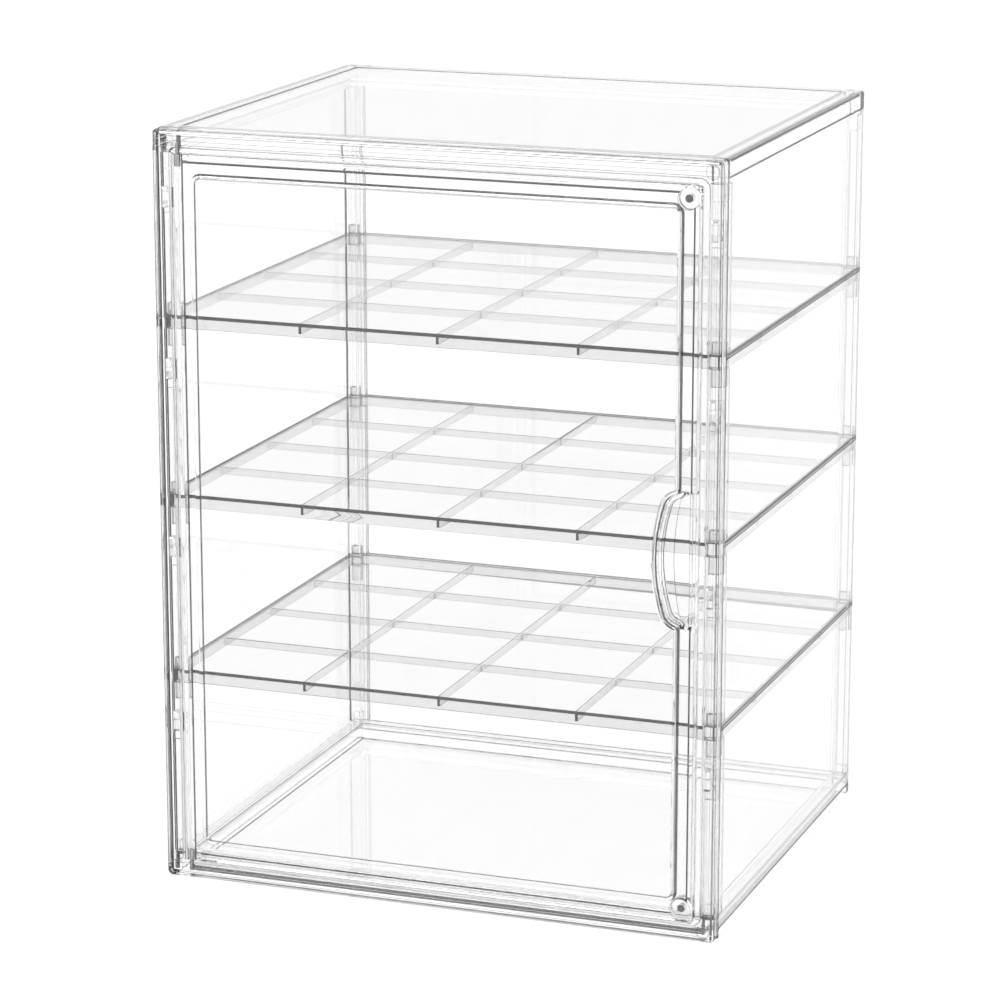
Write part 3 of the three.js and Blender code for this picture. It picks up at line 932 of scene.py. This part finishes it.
# ---------------------------------------------------------------- base and top
def plan_edge(inward):
    """The body's outline from above, moved inward. Its front rests on the frame, with no wall."""
    wall = PANEL + FIT_GAP
    front = inward * FRONT_SHARE if inward <= wall else inward - wall + FRONT_START
    quarter = math.pi / 2
    left, right = -HALF_WIDTH + inward, HALF_WIDTH - inward
    low, high = BODY_FRONT_Y + front, BACK_Y - inward
    r, q = max(CORNER_RADIUS - inward, SQUARE_RADIUS), SQUARE_RADIUS
    return [
        *arc(right - q, low + q, q, -quarter, 0, CORNER_STEPS),
        *arc(right - r, high - r, r, 0, quarter, CORNER_STEPS),
        *arc(left + r, high - r, r, quarter, 2 * quarter, CORNER_STEPS),
        *arc(left + q, low + q, q, 2 * quarter, 3 * quarter, CORNER_STEPS),
    ]


def square_column(cx, cy, steps):
    """A column with rounded corners through (size, height) steps."""
    loops = []
    for size, z in steps:
        half = size / 2
        radius = min(SQUARE_RADIUS, half / 2)
        outline = rounded(cx - half, cx + half, cy - half, cy + half, radius, radius)
        loops.append(level(outline, z))
    return skin("column", loops)


def post_centres():
    """Where the four hollow posts stand."""
    x = HALF_WIDTH - PANEL - POST_HALF
    front = BODY_FRONT_Y + POST_HALF
    back = BACK_Y - PANEL - FIT_GAP - POST_HALF
    return [(-x, front), (x, front), (-x, back), (x, back)]


def spigots(steps):
    """Columns through (size, height) steps that stand in the ends of the four posts."""
    return [square_column(x, y, steps) for x, y in post_centres()]


def panel_of(name, section):
    """A panel through rows of (inward, height, lines), in millimetres."""
    loops = [level(plan_edge(row[0] * mm), row[1] * mm) for row in section]
    return skin(name, loops, marks(section))


def rim_insets():
    """How far inward a hollow rim's faces are: outermost, hollow's two sides, innermost."""
    wall = PANEL + FIT_GAP
    return [inset / mm for inset in (wall, wall + RIM_WALL, RIM_WIDTH - RIM_WALL, RIM_WIDTH)]


def base_section():
    """Rows from the plate's upper face, over the hollow rim and round to the underside."""
    wall, outer, inner, width = rim_insets()
    head, ledge, plate = BASE_RIM / mm, BASE_LEDGE / mm, BASE_PLATE / mm
    roof = (BASE_RIM - RIM_WALL) / mm
    rim = [
        (width + 0.5, plate, all_round),
        (width + 0.1, plate + 0.4),
        (width, head - 0.4, all_round),
        (width - 0.4, head),
        (wall + 0.4, head, all_round),
        (wall, head - 0.4),
    ]
    ledge_and_foot = [
        (wall + 0.02, ledge + 0.2),
        (wall - 0.2, ledge),
        (0.4, ledge, all_round),
        (0, ledge - 0.4),
        (0.01, 1.2),
        (0.4, 0.35),
        (1.2, 0),
    ]
    hollow = [
        (outer - 0.2, 0),
        (outer, 0.2),
        (outer + 0.1, roof - 0.4),
        (outer + 0.4, roof),
        (inner - 0.4, roof),
        (inner - 0.1, roof - 0.4),
        (inner, 0.2),
        (inner + 0.2, 0),
    ]
    return [*rim, *ledge_and_foot, *hollow, (width + 0.6, 0)]


def base_panel(plastic):
    panel = panel_of("base_moulding", base_section())
    rise = BASE_RIM + SPIGOT_RISE
    steps = [
        (SPIGOT, BASE_RIM - RIM_WALL / 2),
        (SPIGOT, rise - SPIGOT_TAPER),
        (SPIGOT - SPIGOT_TAPER * 2, rise),
    ]
    combine(panel, spigots(steps), "UNION")
    return finish_piece(panel, "case", plastic, "frame_plastic", "base_panel")


def top_section():
    """Rows from the plate's underside, round the open channel and skirt, to the upper face."""
    wall, outer, inner, width = rim_insets()
    face, head = CASE_HEIGHT / mm, (CASE_HEIGHT - TOP_RIM) / mm
    ledge, plate = (CASE_HEIGHT - TOP_SKIRT) / mm, (CASE_HEIGHT - TOP_PLATE) / mm
    channel = [
        (width + 0.5, plate),
        (width + 0.1, plate - 0.4),
        (width, head + 0.3),
        (width - 0.3, head),
        (inner + 0.2, head),
        (inner, head + 0.2),
        (inner - 0.1, plate - 0.4),
        (inner - 0.4, plate),
        (outer + 0.4, plate),
        (outer + 0.1, plate - 0.4),
        (outer, head + 0.2),
        (outer - 0.2, head),
        (wall + 0.3, head),
        (wall, head + 0.3),
    ]
    skirt = [
        (wall + 0.02, ledge - 0.2),
        (wall - 0.2, ledge),
        (0.4, ledge),
        (0, ledge + 0.4, all_round),
        (0, ledge + 0.7),
        (0.01, face - 1.6),
    ]
    rounded_face = [
        (0.3, face - 0.7),
        (0.9, face - 0.2),
        (1.8, face),
        (width - 0.2, face, all_round),
        (width + 0.2, face - 0.25),
        (width + 0.8, face - 0.3),
    ]
    return channel + skirt + rounded_face


def top_panel(plastic):
    panel = panel_of("top_moulding", top_section())
    steps = [
        (SPIGOT - SPIGOT_TAPER * 2, TOP_SPIGOT_END),
        (SPIGOT, TOP_SPIGOT_END + SPIGOT_TAPER),
        (SPIGOT, CASE_HEIGHT - TOP_PLATE / 2),
    ]
    combine(panel, spigots(steps), "UNION")
    return finish_piece(panel, "case", plastic, "frame_plastic", "top_panel")


# ---------------------------------------------------------------- carried-over walls and shelves
def soften(node, radius):
    """A small radius on a CAD moulding's edges, which stay where they are; the radius takes the line
    material, with painted shade.
    """
    merge_flats(node, CAD_FLAT_ANGLE)
    bevel = node.modifiers.new("edges", "BEVEL")
    bevel.width = radius
    bevel.segments = 2
    bevel.limit_method = "ANGLE"
    bevel.angle_limit = BEVEL_ANGLE
    # the bevels take the line material, with painted shade
    bevel.material = 1


def carry_over(word, materials, radius):
    """Gives the CAD nodes with this word in their names their materials and soft edges."""
    for name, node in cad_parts.items():
        if word in name:
            node.data.materials.clear()
            for material in materials:
                node.data.materials.append(material)
            soften(node, radius)


# ---------------------------------------------------------------- pins and magnets
def hinge_pin(end, steel):
    """A pin with rounded ends."""
    low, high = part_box(f"hinge_pin_{end}")
    edge = 0.35 * mm
    profile = [
        (PIN_RADIUS - edge * 2, low.z),
        (PIN_RADIUS - edge * 0.4, low.z + edge * 0.4),
        (PIN_RADIUS, low.z + edge * 1.4),
        (PIN_RADIUS, high.z - edge * 1.4),
        (PIN_RADIUS - edge * 0.4, high.z - edge * 0.4),
        (PIN_RADIUS - edge * 2, high.z),
    ]
    pin = turned(f"pin_{end}", profile, along_z(HINGE_X, HINGE_Y))
    return finish_piece(pin, "case", steel, "hinge_pin_steel", f"hinge_pin_{end}")


def magnet(node, body, plating):
    """A chamfered disc magnet, standing in for its CAD node."""
    low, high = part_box(node)
    edge = 0.25 * mm
    middle = along_y((low.x + high.x) / 2, (low.z + high.z) / 2)
    profile = [
        (MAGNET_RADIUS - edge, low.y),
        (MAGNET_RADIUS, low.y + edge),
        (MAGNET_RADIUS, high.y - edge),
        (MAGNET_RADIUS - edge, high.y),
    ]
    disc = turned(f"disc_{node}", profile, middle)
    return finish_piece(disc, body, plating, "magnet_plating", node)


# ---------------------------------------------------------------- floor, light and camera
def floor():
    bm = bmesh.new()
    bmesh.ops.create_circle(bm, cap_ends=True, segments=FLOOR_SIDES, radius=FLOOR_RADIUS)
    disc = piece_from("floor", bm)
    disc.location.z = -FLOOR_DROP
    disc.data.materials[0] = pale_floor()


def dome_light():
    """An even dome, brightest from the horizon down."""
    world = bpy.data.worlds.new("studio")
    bpy.context.scene.world = world
    world.use_nodes = True
    nodes, links = world.node_tree.nodes, world.node_tree.links
    nodes.clear()
    coordinates = nodes.new("ShaderNodeTexCoord")
    split = nodes.new("ShaderNodeSeparateXYZ")
    links.new(coordinates.outputs["Generated"], split.inputs["Vector"])
    dome = nodes.new("ShaderNodeValToRGB")
    horizon, crown = dome.color_ramp.elements
    horizon.position = 0
    horizon.color = (1, 1, 1, 1)
    crown.position = 0.55
    crown.color = (0.6, 0.6, 0.61, 1)
    links.new(split.outputs["Z"], dome.inputs["Fac"])
    background = nodes.new("ShaderNodeBackground")
    background.inputs["Strength"].default_value = 1
    links.new(dome.outputs["Color"], background.inputs["Color"])
    output = nodes.new("ShaderNodeOutputWorld")
    links.new(background.outputs["Background"], output.inputs["Surface"])


def soft_key():
    """A very wide sun from the front left."""
    lamp = bpy.data.lights.new("soft_key", "SUN")
    lamp.energy = 2.2
    lamp.angle = SUN_WIDTH
    key = bpy.data.objects.new("soft_key", lamp)
    key.rotation_euler = (SUN_TILT, 0, SUN_HEADING)
    bpy.context.scene.collection.objects.link(key)


def camera():
    lens = bpy.data.cameras.new("camera")
    lens.lens = CAMERA_LENS
    lens.sensor_width = CAMERA_SENSOR
    lens.clip_end = 200
    viewer = bpy.data.objects.new("camera", lens)
    level_distance = CAMERA_DISTANCE * math.cos(CAMERA_ELEVATION)
    viewer.location = CAMERA_AIM + Vector(
        (
            level_distance * math.sin(CAMERA_AZIMUTH),
            -level_distance * math.cos(CAMERA_AZIMUTH),
            CAMERA_DISTANCE * math.sin(CAMERA_ELEVATION),
        )
    )
    viewer.rotation_euler = (math.pi / 2 - CAMERA_ELEVATION, 0, CAMERA_AZIMUTH)
    bpy.context.scene.collection.objects.link(viewer)
    bpy.context.scene.camera = viewer


def light_paths():
    """Enough bounces to see through every sheet of the case."""
    scene = bpy.context.scene
    scene.view_settings.view_transform = "Standard"
    scene.cycles.max_bounces = 40
    scene.cycles.transmission_bounces = 40
    scene.cycles.glossy_bounces = 12
    scene.cycles.transparent_max_bounces = 128
    scene.cycles.caustics_reflective = False
    scene.cycles.caustics_refractive = False
    scene.cycles.use_denoising = True


# ---------------------------------------------------------------- assembly
def build():
    # each plastic's shares of painted shade: seen from inside at a steep tilt, on upright faces, on
    # fillets
    frame_plastic = plastic_pair("frame_plastic", 0.08, 0, 0.5)
    panel_plastic = plastic_pair("panel_plastic", 0.01, 0, 0.75)
    wall_plastic = plastic_pair("wall_plastic", 0.1, 0.012, 0.5)
    shelf_plastic = plastic_pair("shelf_plastic", 0.5, 0.14, 0.85)
    door_plastic = plastic_pair("door_plastic", 0.08, 0, 0.8)
    front_frame(frame_plastic)
    base_panel(panel_plastic)
    top_panel(panel_plastic)
    door(door_plastic)
    carry_over("_wall_", wall_plastic, WALL_EDGE)
    carry_over("shelf_", shelf_plastic, SHELF_EDGE)
    steel = [plated_metal("hinge_pin_steel", PIN_COLOUR, roughness=0.25, grain=1200)]
    plating = [plated_metal("magnet_plating", PLATING_COLOUR, roughness=0.3, grain=900)]
    for end in ("top", "bottom"):
        hinge_pin(end, steel)
        magnet(f"door_magnet_{end}", "door_leaf", plating)
        magnet(f"frame_magnet_{end}", "case", plating)
    floor()
    dome_light()
    soft_key()
    camera()
    light_paths()


build()
